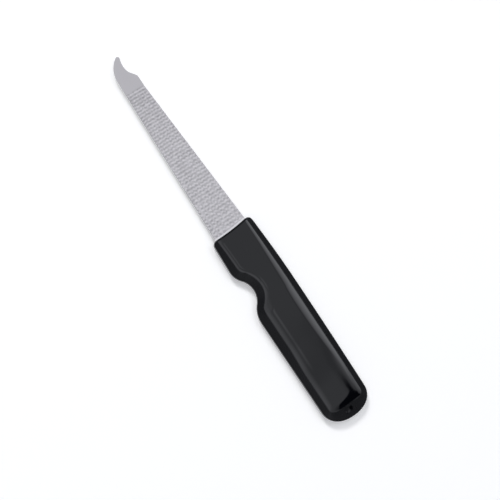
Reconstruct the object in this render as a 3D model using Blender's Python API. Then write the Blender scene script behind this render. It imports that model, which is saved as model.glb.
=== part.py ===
"""Nail file: a stamped steel blade with a hooked tip, held by a moulded plastic handle.

Metres. +X runs from the handle's butt to the hook, +Y to the side with the finger notch, +Z up.
The file lies flat on the underside of its handle, and the origin is on that surface, under the
middle of the tool's length and width.
"""
import math

import bmesh
import bpy

# The whole tool
overall_length = 0.1750
fit_clearance = 0.0003
cut_overrun = 0.0010

# Handle, from above
handle_length = 0.09065
handle_width = 0.0216
mouth_back_offset = 0.0097
mouth_notch_offset = 0.0094
notch_lip_offset = 0.0100
mouth_corner_radius = 0.0015
mouth_edge_radius = 0.0005
mouth_slant_degrees = 4.5
mouth_slant_length = 0.0100
back_widest_from_mouth = 0.0300
butt_back_offset = 0.0102
butt_length = 0.0084
butt_roundness = 2.3

# Finger notch, measured from the mouth and from the handle's notch-side edge
notch_from_mouth = 0.0254
notch_depth = 0.0050
notch_floor_radius = 0.0084
notch_side_degrees = 42.0

# Handle, in section: an upright side wall, a round nose, a sloping flank up to the crest, and a
# crown inside the crest; below, the same flank down to a low flat foot
handle_thickness = 0.0055
nose_radius = 0.0005
crown_height = 0.0007
crown_shoulder_width = 0.0033
mouth_shoulder_width = 0.0015
foot_height = 0.00025
foot_shoulder_width = 0.0010

# Flanks, which change along the handle: their widths, and the heights of the wall under them
mouth_flank_width = 0.00195
back_flank_width = 0.00255
notch_flank_width = 0.0034
rear_back_flank_width = 0.0024
rear_notch_flank_width = 0.00275
butt_flank_width = 0.0054
mouth_wall_height = 0.0022
back_wall_height = 0.0016
notch_wall_height = 0.0010
rear_wall_height = 0.0016
butt_wall_height = 0.0010
flank_blend_length = 0.0300
rear_start_from_butt = 0.0390
rear_end_from_butt = 0.0230

# Mark of the moulding gate on the butt
gate_from_butt = 0.0032
gate_diameter = 0.0018
gate_depth = 0.0006

# Blade, from above
blade_thickness = 0.0012
blade_root_width = 0.0156
blade_seat_depth = 0.0040
smooth_tip_length = 0.0152
hook_back_offset = 0.0038
hook_front_offset = 0.0047
hook_outer_radius = 0.0108
hook_nose_radius = 0.00095
throat_from_shoulder = 0.0041
throat_depth = 0.0029
throat_inner_radius = 0.0060
throat_outer_radius = 0.0120
throat_run_degrees = 38.0
throat_corner_radius = 0.0015

# Tang, the part of the blade inside the handle
tang_length = 0.0520
tang_width = 0.0070
tang_offset = 0.0010
tang_end_chamfer = 0.0020
tang_key_from_shoulder = 0.0160
tang_key_length = 0.0045
tang_key_depth = 0.0012

# File teeth, rows of cuts across the blade that a second set of cuts breaks into dashes
tooth_pitch = 0.00147
tooth_depth = 0.00022
cross_cut_depth = 0.00012
cross_cut_spacing = 0.0010
edge_nick = 0.00008
tooth_land = 0.0012

# How finely the curves are drawn
straight_step = 0.0045
notch_step = 0.0012
corner_steps = 3
nose_steps = 3
shoulder_steps = 3
butt_steps = 10
hook_steps = 10
gate_segments = 20
slope_probe = 0.00001
weld_distance = 0.000001
sharp_edge_degrees = 30.0

# Finishes: colour, roughness and metallic value
stainless_steel = ((0.46, 0.46, 0.48), 0.35, 1)
black_plastic = ((0.004, 0.004, 0.005), 0.2, 0)

# Places that follow from the sizes above
butt_x = -overall_length / 2
tip_x = overall_length / 2
mouth_x = butt_x + handle_length
crest_rise = (handle_thickness - crown_height - foot_height) / 2
middle_z = foot_height + crest_rise
half_width = handle_width / 2
widest_x = mouth_x - back_widest_from_mouth
butt_centre_x = butt_x + butt_length
butt_centre_y = (half_width - butt_back_offset) / 2
butt_half_width = (half_width + butt_back_offset) / 2
notch_x = mouth_x - notch_from_mouth
notch_floor_y = half_width - notch_depth
notch_side = math.radians(notch_side_degrees)
teeth_start_x = mouth_x + tooth_land
teeth_end_x = tip_x - smooth_tip_length


def remove_old_objects():
    for old in list(bpy.data.objects):
        bpy.data.objects.remove(old, do_unlink=True)


def make_material(name, finish):
    colour, roughness, metallic = finish
    material = bpy.data.materials.new(name)
    material.use_nodes = True
    shader = material.node_tree.nodes["Principled BSDF"]
    shader.inputs["Base Color"].default_value = (*colour, 1)
    shader.inputs["Roughness"].default_value = roughness
    shader.inputs["Metallic"].default_value = metallic
    return material


def make_object(name, corners, faces, material):
    """A closed mesh with its faces turned out and its flat faces cut into triangles."""
    mesh = bpy.data.meshes.new(name)
    mesh.from_pydata(corners, [], faces)
    work = bmesh.new()
    work.from_mesh(mesh)
    bmesh.ops.remove_doubles(work, verts=work.verts, dist=weld_distance)
    bmesh.ops.recalc_face_normals(work, faces=work.faces)
    bmesh.ops.triangulate(work, faces=work.faces)
    work.to_mesh(mesh)
    work.free()
    mesh.shade_smooth()
    mesh.set_sharp_from_angle(angle=math.radians(sharp_edge_degrees))
    mesh.materials.append(material)
    made = bpy.data.objects.new(name, mesh)
    bpy.context.collection.objects.link(made)
    return made


def cut_away(target, cutter):
    """Takes the cutter's shape out of the target and leaves the cutter as a guide."""
    cutter.hide_render = True
    cutter.display_type = "WIRE"
    cut = target.modifiers.new(cutter.name, "BOOLEAN")
    cut.operation = "DIFFERENCE"
    cut.solver = "EXACT"
    cut.object = cutter


def spread(start, end, longest_step):
    steps = max(1, math.ceil(abs(end - start) / longest_step))
    return [start + (end - start) * k / steps for k in range(steps + 1)]


def arc(centre, radius, start, end, steps):
    """Points on an arc, with its angles measured from +X towards +Y."""
    angles = [start + (end - start) * k / steps for k in range(steps + 1)]
    return [(centre[0] + radius * math.cos(a), centre[1] + radius * math.sin(a)) for a in angles]


def prism(outline, low, high):
    """Corners and faces of an upright prism on an outline."""
    count = len(outline)
    corners = [(x, y, z) for z in (low, high) for x, y in outline]
    faces = [tuple(range(count)), tuple(range(count, 2 * count))]
    faces += [(k, (k + 1) % count, count + (k + 1) % count, count + k) for k in range(count)]
    return corners, faces


def back_edge(x):
    """How far the handle's back edge lies from the centreline."""
    if x > widest_x:
        draw_in, share = half_width - mouth_back_offset, (x - widest_x) / (mouth_x - widest_x)
    else:
        draw_in, share = half_width - butt_back_offset, (x - widest_x) / (butt_centre_x - widest_x)
    return half_width - draw_in * share ** 2


def notch_edge(x):
    """How far the notch-side edge lies from the centreline: three arcs that run into each other."""
    rise_share = 1 - math.cos(notch_side)
    rear_radius = notch_depth / rise_share - notch_floor_radius
    lip_radius = (notch_lip_offset - notch_floor_y) / rise_share - notch_floor_radius
    rear_x = notch_x - (rear_radius + notch_floor_radius) * math.sin(notch_side)
    lip_x = notch_x + (lip_radius + notch_floor_radius) * math.sin(notch_side)
    floor_reach = notch_floor_radius * math.sin(notch_side)
    if x <= rear_x:
        return half_width
    if x >= lip_x:
        share = (x - lip_x) / (mouth_x - lip_x)
        return notch_lip_offset + (mouth_notch_offset - notch_lip_offset) * share
    if abs(x - notch_x) <= floor_reach:
        drop = math.sqrt(notch_floor_radius ** 2 - (x - notch_x) ** 2)
        return notch_floor_y + notch_floor_radius - drop
    if x < notch_x:
        return half_width - rear_radius + math.sqrt(rear_radius ** 2 - (x - rear_x) ** 2)
    return notch_lip_offset - lip_radius + math.sqrt(lip_radius ** 2 - (x - lip_x) ** 2)


def notch_ends():
    """Where the notch's arcs begin and end along the handle."""
    rise_share = 1 - math.cos(notch_side)
    rear = notch_depth / rise_share * math.sin(notch_side)
    front = (notch_lip_offset - notch_floor_y) / rise_share * math.sin(notch_side)
    return notch_x - rear, notch_x + front


def flank_profile(width, wall_height):
    """Inset and rise above the middle, from the side wall's top, round the nose, to the crest."""
    wall_top = wall_height / 2
    slope_run, slope_rise = width - nose_radius, crest_rise - wall_top
    turn = math.pi - math.atan2(slope_rise, slope_run)
    turn -= math.acos(nose_radius / math.hypot(slope_run, slope_rise))
    nose = arc((nose_radius, wall_top), nose_radius, math.pi, math.pi - turn, nose_steps)
    return nose + [(width, crest_rise)]


def rounded(share):
    """Rises from 0 to 1 and ends level, as a round shoulder does."""
    return 1 - (1 - min(max(share, 0), 1)) ** 2


def smooth(share):
    """Rises from 0 to 1 and is level at both ends."""
    share = min(max(share, 0), 1)
    return share * share * (3 - 2 * share)


def blend(sizes, shares):
    """Starts at the first size and goes to each next one by its share."""
    size = sizes[0]
    for following, share in zip(sizes[1:], shares):
        size += (following - size) * share
    return size


def flank_size(side, x, butt_turn):
    """Width of the flank and height of the wall under it, from mouth to middle, rear and butt."""
    from_mouth = rounded((mouth_x - x) / flank_blend_length)
    rear_length = rear_start_from_butt - rear_end_from_butt
    to_rear = smooth((rear_start_from_butt - (x - butt_x)) / rear_length)
    shares = from_mouth, to_rear, math.sin(butt_turn) ** 2
    if side > 0:
        widths, middle_wall = (notch_flank_width, rear_notch_flank_width), notch_wall_height
    else:
        widths, middle_wall = (back_flank_width, rear_back_flank_width), back_wall_height
    width = blend((mouth_flank_width, *widths, butt_flank_width), shares)
    wall = blend((mouth_wall_height, middle_wall, rear_wall_height, butt_wall_height), shares)
    return width, wall


def side_point(side, x):
    """Edge point and inward direction at x, on the notch side (+1) or the back (-1)."""
    edge = notch_edge if side > 0 else back_edge
    slope = (edge(x + slope_probe) - edge(x - slope_probe)) / (2 * slope_probe)
    length = math.hypot(slope, 1)
    return (x, side * edge(x)), (slope / length, -side / length)


def butt_point(side, angle):
    """Edge point and inward direction on the butt's superellipse, from its side to its end."""
    power = 2 / butt_roundness
    along = math.sin(angle) ** power
    across = max(math.cos(angle), 0) ** power
    point = (butt_centre_x - butt_length * along, butt_centre_y + side * butt_half_width * across)
    out_x = along ** (butt_roundness - 1) / butt_length
    out_y = across ** (butt_roundness - 1) / butt_half_width
    length = math.hypot(out_x, out_y)
    return point, (out_x / length, -side * out_y / length)


def handle_stations():
    """Stations from mouth to butt: x, turn of the mouth's round edges, and turn of the butt."""
    rear_x, front_x = notch_ends()
    corner_x = mouth_x - mouth_corner_radius
    turns = [math.pi / 2 * k / corner_steps for k in range(corner_steps, 0, -1)]
    stations = [(corner_x + mouth_corner_radius * math.sin(t), t, 0) for t in turns]
    stations += [(x, 0, 0) for x in spread(corner_x, front_x, straight_step)]
    stations += [(x, 0, 0) for x in spread(front_x, rear_x, notch_step)[1:]]
    stations += [(x, 0, 0) for x in spread(rear_x, butt_centre_x, straight_step)[1:]]
    butt_turns = [math.pi / 2 * k / butt_steps for k in range(1, butt_steps + 1)]
    return stations + [(butt_centre_x, 0, t) for t in butt_turns]


def handle_section(x, mouth_turn, butt_turn):
    """A section's flanks from wall to crest on both sides, its crown, and its squeeze in height."""
    near_mouth = 1 - rounded((mouth_x - x) / flank_blend_length)
    shoulder = crown_shoulder_width + (mouth_shoulder_width - crown_shoulder_width) * near_mouth
    corner_inset = mouth_corner_radius * (1 - math.cos(mouth_turn))
    squeeze = 1 - mouth_edge_radius * (1 - math.cos(mouth_turn)) / crest_rise
    sides = {}
    for side in (1, -1):
        edge, inward = butt_point(side, butt_turn) if butt_turn else side_point(side, x)
        width, wall_height = flank_size(side, x, butt_turn)
        points = []
        for inset, rise in flank_profile(width, wall_height):
            inset = corner_inset + inset * (width - corner_inset) / width
            points.append((edge[0] + inward[0] * inset, edge[1] + inward[1] * inset, rise))
        sides[side] = points
    crest_notch, crest_back = sides[1][-1], sides[-1][-1]
    return sides, across_crown(crest_notch, crest_back, shoulder), squeeze


def across_crown(start, end, shoulder):
    """Points between two crests: place and height above them. A narrow shoulder rises less."""
    span = math.dist(start[:2], end[:2])
    near = [shoulder * k / shoulder_steps for k in range(1, shoulder_steps + 1)]
    near = [min(d, span / 2) for d in near]
    distances = near + [span / 2] + [span - d for d in reversed(near)]
    butt_crest_x = butt_x + butt_flank_width
    height = crown_height * shoulder / crown_shoulder_width
    points = []
    for d in distances:
        share = d / span if span else 0
        x = start[0] + (end[0] - start[0]) * share
        y = start[1] + (end[1] - start[1]) * share
        from_sides = rounded(min(d, span - d) / shoulder)
        from_butt = rounded((x - butt_crest_x) / shoulder)
        points.append((x, y, height * from_sides * from_butt))
    return points


def slant(x, y):
    """Leans the mouth over, less and less with the distance from it."""
    share = min(max(1 - (mouth_x - x) / mouth_slant_length, 0), 1)
    return x - y * math.tan(math.radians(mouth_slant_degrees)) * share


def section_corners(x, mouth_turn, butt_turn):
    """One closed section: up the notch side, over the crown, down the back and along the foot."""
    sides, crown, squeeze = handle_section(x, mouth_turn, butt_turn)
    loop = list(sides[1])
    loop += [(px, py, crest_rise + height) for px, py, height in crown]
    loop += reversed(sides[-1])
    loop += [(px, py, -rise) for px, py, rise in sides[-1]]
    back_crest, notch_crest = sides[-1][-1], sides[1][-1]
    span = math.dist(back_crest[:2], notch_crest[:2])
    foot_share = min(foot_shoulder_width / span, 1 / 2) if span else 0
    for share in (foot_share, 1 - foot_share):
        px = back_crest[0] + (notch_crest[0] - back_crest[0]) * share
        py = back_crest[1] + (notch_crest[1] - back_crest[1]) * share
        from_butt = rounded((px - butt_x - butt_flank_width) / foot_shoulder_width)
        loop.append((px, py, -crest_rise - foot_height * from_butt))
    loop += [(px, py, -rise) for px, py, rise in reversed(sides[1])]
    return [(slant(px, py), py, middle_z + rise * squeeze) for px, py, rise in loop]


def make_handle(material):
    sections = [section_corners(*station) for station in handle_stations()]
    count = len(sections[0])
    corners = [corner for section in sections for corner in section]
    faces = [tuple(range(count))]
    for row in range(len(sections) - 1):
        for k in range(count):
            here, after = row * count + k, row * count + (k + 1) % count
            faces.append((here, after, after + count, here + count))
    handle = make_object("handle", corners, faces, material)
    cut_away(handle, make_socket_cutter(material))
    cut_away(handle, make_gate_cutter(material))
    return handle


def make_socket_cutter(material):
    """The hollow for the blade's root: the root's own outline with the clearance all round."""
    front_x = mouth_x + half_width * math.tan(math.radians(mouth_slant_degrees)) + cut_overrun
    back_y = -(blade_back_edge(front_x) + fit_clearance)
    front_y = blade_front_edge(front_x) + fit_clearance
    outline = [(front_x, front_y)] + root_outline(fit_clearance) + [(front_x, back_y)]
    reach = blade_thickness / 2 + fit_clearance
    corners, faces = prism(outline, middle_z - reach, middle_z + reach)
    return make_object("socket_cutter", corners, faces, material)


def make_gate_cutter(material):
    """The round recess that the moulding gate leaves on the slope of the butt."""
    tangent_x, tangent_rise = flank_profile(butt_flank_width, butt_wall_height)[-2]
    share = (gate_from_butt - tangent_x) / (butt_flank_width - tangent_x)
    surface_z = middle_z + tangent_rise + (crest_rise - tangent_rise) * share
    centre = (butt_x + gate_from_butt, butt_centre_y)
    outline = arc(centre, gate_diameter / 2, 0, 2 * math.pi, gate_segments)[:-1]
    corners, faces = prism(outline, surface_z - gate_depth, surface_z + gate_depth + cut_overrun)
    return make_object("gate_cutter", corners, faces, material)


def blade_back_edge(x):
    """How far the blade's back edge lies from the centreline, between the root and the hook."""
    share = (x - mouth_x) / (teeth_end_x - mouth_x)
    return blade_root_width / 2 + (hook_back_offset - blade_root_width / 2) * share


def blade_front_edge(x):
    """How far the blade's notch-side edge lies from the centreline."""
    share = (x - mouth_x) / (hook_shoulder_x() - mouth_x)
    return blade_root_width / 2 + (hook_front_offset - blade_root_width / 2) * share


def hook_centres():
    """Centres of the hook's outer arc, throat arcs and nose, with x counted from its shoulder."""
    outer = (0, hook_front_offset - hook_outer_radius)
    throat_y = throat_depth - hook_back_offset
    inner = (throat_from_shoulder, throat_y - throat_inner_radius)
    far = (throat_from_shoulder, throat_y - throat_outer_radius)
    to_outer = hook_outer_radius - hook_nose_radius
    to_far = throat_outer_radius + hook_nose_radius
    apart = math.dist(outer, far)
    along = (to_outer ** 2 - to_far ** 2 + apart ** 2) / (2 * apart)
    aside = math.sqrt(to_outer ** 2 - along ** 2)
    ux, uy = (far[0] - outer[0]) / apart, (far[1] - outer[1]) / apart
    nose = (outer[0] + ux * along - uy * aside, outer[1] + uy * along + ux * aside)
    return outer, inner, far, nose


def hook_shoulder_x():
    """Where the straight notch-side edge ends, so that the hook's nose just reaches the tip."""
    nose = hook_centres()[3]
    return tip_x - hook_nose_radius - nose[0]


def hook_outline():
    """The hook from the back edge's corner, through its throat and round its nose."""
    outer, inner, far, nose = hook_centres()
    quarter = math.pi / 2
    run = math.radians(throat_run_degrees)
    throat = arc(inner, throat_inner_radius, quarter + run, quarter, hook_steps)
    run_x, run_y = throat[0]
    corner_x = run_x - (run_y + hook_back_offset) / math.tan(run)
    corner = (corner_x - throat_corner_radius * math.tan(run / 2), throat_corner_radius - hook_back_offset)
    points = arc(corner, throat_corner_radius, -quarter, run - quarter, corner_steps)
    points += throat
    far_end = math.atan2(nose[1] - far[1], nose[0] - far[0])
    points += arc(far, throat_outer_radius, quarter, far_end, hook_steps)[1:]
    outer_end = math.atan2(nose[1] - outer[1], nose[0] - outer[0])
    points += arc(nose, hook_nose_radius, far_end - math.pi, outer_end, corner_steps * 2)[1:]
    points += arc(outer, hook_outer_radius, outer_end, quarter, hook_steps)[1:]
    shoulder_x = hook_shoulder_x()
    return [(shoulder_x + x, y) for x, y in points]


def root_outline(grow):
    """The root from its notch side round the tang to its back, grown all round by a clearance."""
    seat_x = mouth_x - blade_seat_depth
    half = tang_width / 2 + grow
    end_x = seat_x - tang_length - grow
    key_x = seat_x - tang_key_from_shoulder - grow
    key_end_x = key_x - tang_key_length + 2 * grow
    side = [(seat_x - grow, half), (key_x, half), (key_x, half - tang_key_depth)]
    side += [(key_end_x, half - tang_key_depth), (key_end_x, half)]
    side += [(end_x + tang_end_chamfer, half), (end_x, half - tang_end_chamfer)]
    front = [(x, y - tang_offset) for x, y in side]
    back = [(x, -y - tang_offset) for x, y in reversed(side)]
    front_corner = (seat_x - grow, blade_front_edge(seat_x) + grow)
    back_corner = (seat_x - grow, -blade_back_edge(seat_x) - grow)
    return [front_corner] + front + back + [back_corner]


def tooth_grid():
    """Rows of points over the toothed face: x, y, and how deep the cuts go there."""
    rows = 2 * max(1, round((teeth_end_x - teeth_start_x) / tooth_pitch))
    columns = max(2, round(blade_root_width / cross_cut_spacing))
    grid = []
    for row in range(rows + 1):
        x = teeth_start_x + (teeth_end_x - teeth_start_x) * row / rows
        in_cut = row % 2 == 1
        low_y = -blade_back_edge(x) + edge_nick * in_cut
        high_y = blade_front_edge(x) - edge_nick * in_cut
        line = []
        for column in range(columns + 1):
            depth = tooth_depth if in_cut else cross_cut_depth * ((row // 2 + column) % 2)
            if row in (0, rows):
                depth = 0
            line.append((x, low_y + (high_y - low_y) * column / columns, depth))
        grid.append(line)
    return grid


def make_blade(material):
    grid = tooth_grid()
    width = len(grid[0])
    points = [point for line in grid for point in line]
    hook = list(range(len(points), len(points) + len(hook_outline())))
    points += [(x, y, 0) for x, y in hook_outline()]
    root = list(range(len(points), len(points) + len(root_outline(0))))
    points += [(x, y, 0) for x, y in root_outline(0)]
    first, last = list(range(width)), list(range((len(grid) - 1) * width, len(grid) * width))
    surface = [[last[0]] + hook + last[:0:-1]]
    surface.append([first[-1]] + root + first[:-1])
    for row in range(len(grid) - 1):
        for column in range(width - 1):
            here = row * width + column
            surface.append([here, here + width, here + width + 1, here + 1])
    back_line = [row * width for row in range(len(grid))]
    front_line = [row * width + width - 1 for row in reversed(range(len(grid)))]
    rim = back_line + hook + front_line + root
    half = blade_thickness / 2
    corners = [(x, y, middle_z + half - depth) for x, y, depth in points]
    corners += [(x, y, middle_z - half + depth) for x, y, depth in points]
    under = len(points)
    faces = surface + [[under + k for k in reversed(face)] for face in surface]
    for k, after in zip(rim, rim[1:] + rim[:1]):
        faces.append([k, under + k, under + after, after])
    return make_object("blade", corners, faces, material)


def main():
    remove_old_objects()
    make_handle(make_material("black_moulded_plastic", black_plastic))
    make_blade(make_material("stainless_steel", stainless_steel))


main()
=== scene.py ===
# %% [markdown]
# # A nail file with a moulded handle
# The object is a flat file of stamped stainless steel, with a hooked cleaning tip, held in a
# black plastic handle that has a finger notch on one side. Both pieces are long, thin and
# almost flat, so nearly everything that the eye reads is a reflection: which slope of the
# handle mirrors which part of the studio. The lesson therefore spends its effort on fine
# surfaces with the right slopes, and on a studio whose bright and dark zones are placed on
# purpose. The CAD pieces come in first, as a frame that is never moved.

# %% The frame
import math

import bmesh
import bpy
import numpy as np
from mathutils import Matrix, Vector


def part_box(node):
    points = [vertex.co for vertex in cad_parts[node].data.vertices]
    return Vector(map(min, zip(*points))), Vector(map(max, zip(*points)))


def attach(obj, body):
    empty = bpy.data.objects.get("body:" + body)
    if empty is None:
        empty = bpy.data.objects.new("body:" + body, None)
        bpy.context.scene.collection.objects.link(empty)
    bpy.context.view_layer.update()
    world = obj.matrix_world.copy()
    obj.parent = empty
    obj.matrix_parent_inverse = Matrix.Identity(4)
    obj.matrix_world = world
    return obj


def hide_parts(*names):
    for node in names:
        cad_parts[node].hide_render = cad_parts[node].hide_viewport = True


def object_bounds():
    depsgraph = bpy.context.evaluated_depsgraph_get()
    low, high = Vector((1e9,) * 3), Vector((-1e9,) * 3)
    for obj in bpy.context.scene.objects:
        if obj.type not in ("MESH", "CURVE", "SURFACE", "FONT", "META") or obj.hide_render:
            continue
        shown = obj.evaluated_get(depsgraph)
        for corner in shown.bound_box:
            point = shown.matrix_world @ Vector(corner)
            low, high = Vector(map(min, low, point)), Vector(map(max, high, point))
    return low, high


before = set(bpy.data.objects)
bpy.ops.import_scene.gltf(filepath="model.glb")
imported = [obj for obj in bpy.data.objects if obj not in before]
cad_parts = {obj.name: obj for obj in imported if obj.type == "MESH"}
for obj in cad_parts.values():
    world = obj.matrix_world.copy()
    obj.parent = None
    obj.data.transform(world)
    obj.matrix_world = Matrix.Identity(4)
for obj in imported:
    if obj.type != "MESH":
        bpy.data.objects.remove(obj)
cad_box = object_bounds()
handle_low, handle_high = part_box("handle")
blade_low, blade_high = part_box("blade")
mm = 0.001
print("CAD box in mm:", [round(v / mm, 2) for corner in cad_box for v in corner])

# %% [markdown]
# ## Small helpers
# Colours are written as sRGB hex values, the way a paint chart gives them, and one function
# turns them into the linear values that a renderer adds up. One more function adds a shader
# node, sets its options and fills or links its inputs, so that each material below reads as
# a short list of what it is made of.


# %% Colours and nodes
def linear(hex_colour):
    """The linear RGBA of an sRGB hex colour such as #2F3032."""
    channels = [int(hex_colour[k : k + 2], 16) / 255 for k in (1, 3, 5)]
    return [c / 12.92 if c <= 0.04045 else ((c + 0.055) / 1.055) ** 2.4 for c in channels] + [1]


def add_node(tree, kind, inputs=None, **options):
    """Adds a shader node. An input takes a value, or the output socket that it is linked to."""
    node = tree.nodes.new("ShaderNode" + kind)
    for name, value in options.items():
        setattr(node, name, value)
    for key, value in (inputs or {}).items():
        if isinstance(value, bpy.types.NodeSocket):
            tree.links.new(value, node.inputs[key])
        else:
            node.inputs[key].default_value = value
    return node


def new_material(name):
    """A material with only its output and an empty Principled shader: tree and shader."""
    material = bpy.data.materials.new(name)
    material.use_nodes = True
    tree = material.node_tree
    return material, tree, tree.nodes["Principled BSDF"]


print("the grey #808080 in linear light:", round(linear("#808080")[0], 3))

# %% [markdown]
# Shapes and light both need values that pass gently from one to the next. Four short
# functions do this everywhere below.


# %% Gentle passages
def mix(start, end, share):
    """From start (share 0) to end (share 1)."""
    return start + (end - start) * share


def rounded(share):
    """Rises from 0 to 1 and ends level, as a round shoulder does."""
    return 1 - (1 - np.clip(share, 0, 1)) ** 2


def smooth(share):
    """Rises from 0 to 1 and is level at both ends."""
    share = np.clip(share, 0, 1)
    return share * share * (3 - 2 * share)


def hump(distance):
    """1 in its middle, and 0 well away from it."""
    return math.exp(-(distance**2))


for passage in (rounded, smooth):
    print("a tenth of the way,", passage.__name__, "gives", round(float(passage(0.1)), 3))

# %% [markdown]
# ## The handle from above
# A moulded handle gets its outline from the mould's parting line. Here it is a long oval end,
# two nearly straight sides that draw in a little towards the mouth, and a notch for the
# forefinger made of three arcs that run into each other. Writing the two edges as functions
# of the place along the handle keeps every later step simple: a section can be asked for
# anywhere, as finely as the light needs it.

# %% The handle's edges
handle_length = 90.65 * mm
handle_width = 21.6 * mm
mouth_back_offset = 9.7 * mm
mouth_notch_offset = 9.4 * mm
notch_lip_offset = 10.0 * mm
back_widest_from_mouth = 30 * mm
butt_back_offset = 10.2 * mm
butt_length = 8.4 * mm
butt_roundness = 2.22
notch_from_mouth = 25.4 * mm
notch_depth = 5.0 * mm
notch_floor_radius = 8.4 * mm
notch_side = math.radians(42)

butt_x = handle_low.x
mouth_x = butt_x + handle_length
half_width = handle_width / 2
widest_x = mouth_x - back_widest_from_mouth
butt_centre_x = butt_x + butt_length
butt_centre_y = (half_width - butt_back_offset) / 2
butt_half_width = (half_width + butt_back_offset) / 2
notch_x = mouth_x - notch_from_mouth
notch_floor_y = half_width - notch_depth
notch_turn = 1 - math.cos(notch_side)
notch_rear_x = notch_x - notch_depth / notch_turn * math.sin(notch_side)
notch_lip_x = notch_x + (notch_lip_offset - notch_floor_y) / notch_turn * math.sin(notch_side)


def back_edge(x):
    """Distance of the back edge from the centreline."""
    if x > widest_x:
        draw_in, share = half_width - mouth_back_offset, (x - widest_x) / (mouth_x - widest_x)
    else:
        draw_in, share = half_width - butt_back_offset, (x - widest_x) / (butt_centre_x - widest_x)
    return half_width - draw_in * share**2


def notch_edge(x):
    """Distance of the notch-side edge from the centreline."""
    rear_radius = notch_depth / notch_turn - notch_floor_radius
    lip_radius = (notch_lip_offset - notch_floor_y) / notch_turn - notch_floor_radius
    if x <= notch_rear_x:
        return half_width
    if x >= notch_lip_x:
        share = (x - notch_lip_x) / (mouth_x - notch_lip_x)
        return notch_lip_offset + (mouth_notch_offset - notch_lip_offset) * share
    if abs(x - notch_x) <= notch_floor_radius * math.sin(notch_side):
        drop = math.sqrt(notch_floor_radius**2 - (x - notch_x) ** 2)
        return notch_floor_y + notch_floor_radius - drop
    if x < notch_x:
        return half_width - rear_radius + math.sqrt(rear_radius**2 - (x - notch_rear_x) ** 2)
    return notch_lip_offset - lip_radius + math.sqrt(lip_radius**2 - (x - notch_lip_x) ** 2)


print("notch from x =", round(notch_rear_x / mm, 1), "to", round(notch_lip_x / mm, 1), "mm")

# %% [markdown]
# ## The handle in section
# Seen end on, the handle has an upright side wall, a round nose, a sloping flank that ends in
# a crisp crest, and a low crown inside the crest. The crown is steepest beside the crest and
# flattens inwards: that falling slope is what mirrors a soft bright band along the back. The
# crest gets a fillet of a fraction of a millimetre, because no mould has a perfect edge.

# %% Heights
nose_radius = 0.5 * mm
crown_height = 0.7 * mm
foot_height = 0.25 * mm
foot_shoulder_width = 1.0 * mm
crest_fillet = 0.2 * mm
crest_rise = (handle_high.z - handle_low.z - crown_height - foot_height) / 2
middle_z = handle_low.z + foot_height + crest_rise
print("handle thickness in mm:", round((2 * crest_rise + crown_height + foot_height) / mm, 2))

# %% [markdown]
# The flank is not equally wide all round: it is broad round the butt, narrower along the
# sides, and narrowest at the mouth. Its width and the height of the wall below it are given
# at a few places and passed gently from one to the next. Each section then sets its flank
# square to the outline, so that the flank also turns round the notch and the butt.

# %% The flank
# Width of the flank and height of the upright wall below it: at the back, the notch, the mouth
# and the butt, and on the rear part of the sides.
back_flank, notch_flank, mouth_flank, butt_flank = (v * mm for v in (2.55, 3.4, 1.95, 5.4))
back_wall, notch_wall, mouth_wall, butt_wall = (v * mm for v in (1.6, 1.0, 2.2, 1.0))
rear_back_flank, rear_notch_flank, rear_wall = (v * mm for v in (2.4, 2.75, 1.6))
mouth_blend_length = 30 * mm
rear_start_from_butt = 39 * mm
rear_end_from_butt = 23 * mm
# Inside the notch the flank narrows for a short way: by how much, over what length, and how
# far in front of the notch's rear end.
flank_dip, flank_dip_length, flank_dip_from_rear = 0.8 * mm, 3.2 * mm, 6.8 * mm
# The outline's slope is read off it over this distance to either side.
slope_probe = 0.01 * mm
nose_steps = 7
flank_steps = 6


def edge_point(side, x, butt_turn):
    """A point of the outline and the direction inwards, on the notch side (1) or the back (-1)."""
    if butt_turn:
        along = math.sin(butt_turn) ** (2 / butt_roundness)
        across = max(math.cos(butt_turn), 0) ** (2 / butt_roundness)
        point = (butt_centre_x - butt_length * along, butt_centre_y + side * butt_half_width * across)
        out_x = along ** (butt_roundness - 1) / butt_length
        out_y = across ** (butt_roundness - 1) / butt_half_width
        inward = Vector((out_x, -side * out_y)).normalized()
    else:
        edge = notch_edge if side > 0 else back_edge
        slope = (edge(x + slope_probe) - edge(x - slope_probe)) / (2 * slope_probe)
        point, inward = (x, side * edge(x)), Vector((slope, -side)).normalized()
    return np.array(point), np.array(inward)


def flank_size(side, x, butt_turn):
    """Width of the flank and height of the wall below it."""
    from_mouth = rounded((mouth_x - x) / mouth_blend_length)
    from_butt = x - butt_x
    to_rear = smooth((rear_start_from_butt - from_butt) / (rear_start_from_butt - rear_end_from_butt))
    to_end = math.sin(butt_turn) ** 2
    middle, rear = (notch_flank, rear_notch_flank) if side > 0 else (back_flank, rear_back_flank)
    if side > 0:
        middle -= flank_dip * hump((x - notch_rear_x - flank_dip_from_rear) / flank_dip_length)
    width = mix(mix(mix(mouth_flank, middle, from_mouth), rear, to_rear), butt_flank, to_end)
    middle_wall = notch_wall if side > 0 else back_wall
    wall = mix(mix(mix(mouth_wall, middle_wall, from_mouth), rear_wall, to_rear), butt_wall, to_end)
    return width, wall


def flank_profile(width, wall):
    """Inset and rise above the middle, from the side wall's top, round the nose, to the crest."""
    run, rise = width - nose_radius, crest_rise - wall / 2
    turn = math.pi - math.atan2(rise, run) - math.acos(nose_radius / math.hypot(run, rise))
    angles = np.linspace(0, turn, nose_steps + 1)
    nose = np.stack([nose_radius * (1 - np.cos(angles)), wall / 2 + nose_radius * np.sin(angles)], 1)
    share = np.linspace(0, 1, flank_steps + 1)[1:, None]
    return np.vstack([nose, nose[-1] + (np.array([width, crest_rise]) - nose[-1]) * share])


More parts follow.
